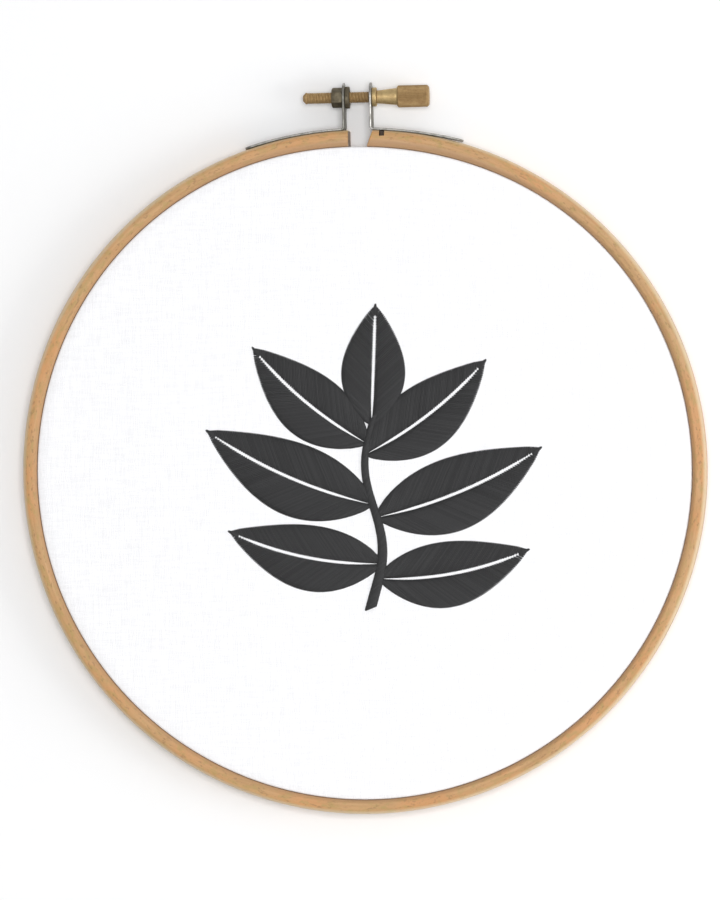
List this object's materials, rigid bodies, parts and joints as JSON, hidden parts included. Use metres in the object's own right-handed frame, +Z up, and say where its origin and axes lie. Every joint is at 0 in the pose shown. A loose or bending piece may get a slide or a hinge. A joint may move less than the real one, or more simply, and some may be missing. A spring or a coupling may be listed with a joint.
{
  "type": "embroidered cloth stretched in a wooden screw hoop",
  "caption": "Round white cloth with a dark stitched leaf sprig, stretched between wooden rings that a brass thumbscrew on steel brackets draws tight; it hangs on a wall nail.",
  "frame": {"origin": "the point under the middle of the screw where a wall nail carries the hoop, in the hoop's middle plane", "axes": "+Z up, +Y into the wall, so the cloth faces -Y; +X along the screw towards its barrel, at the viewer's right"},
  "size_m": [0.1868, 0.009, 0.1993],
  "materials": {
    "outer_wood": "smooth, clear waxed",
    "inner_wood": "smooth, unfinished",
    "cloth": "plain weave",
    "thread": "satin stitch in cotton thread",
    "steel": "nickel plated",
    "dark_steel": "dull, oiled",
    "brass": "turned, lightly tarnished"
  },
  "bodies": {
    "hoop": {"inner_ring": "inner_wood", "outer_ring": "outer_wood", "cloth": "cloth", "left_bracket": "steel", "right_bracket": "steel", "hex_nut": "dark_steel", "inner_washer": "dark_steel", "outer_washer": "brass"},
    "screw": {"tension_screw": "brass"}
  },
  "joints": [
    {"name": "screw_turn", "type": "hinge", "parent": "hoop", "child": "screw", "pos_m": [0, 0, 0.00155], "axis": [1, 0, 0], "continuous": true}
  ]
}
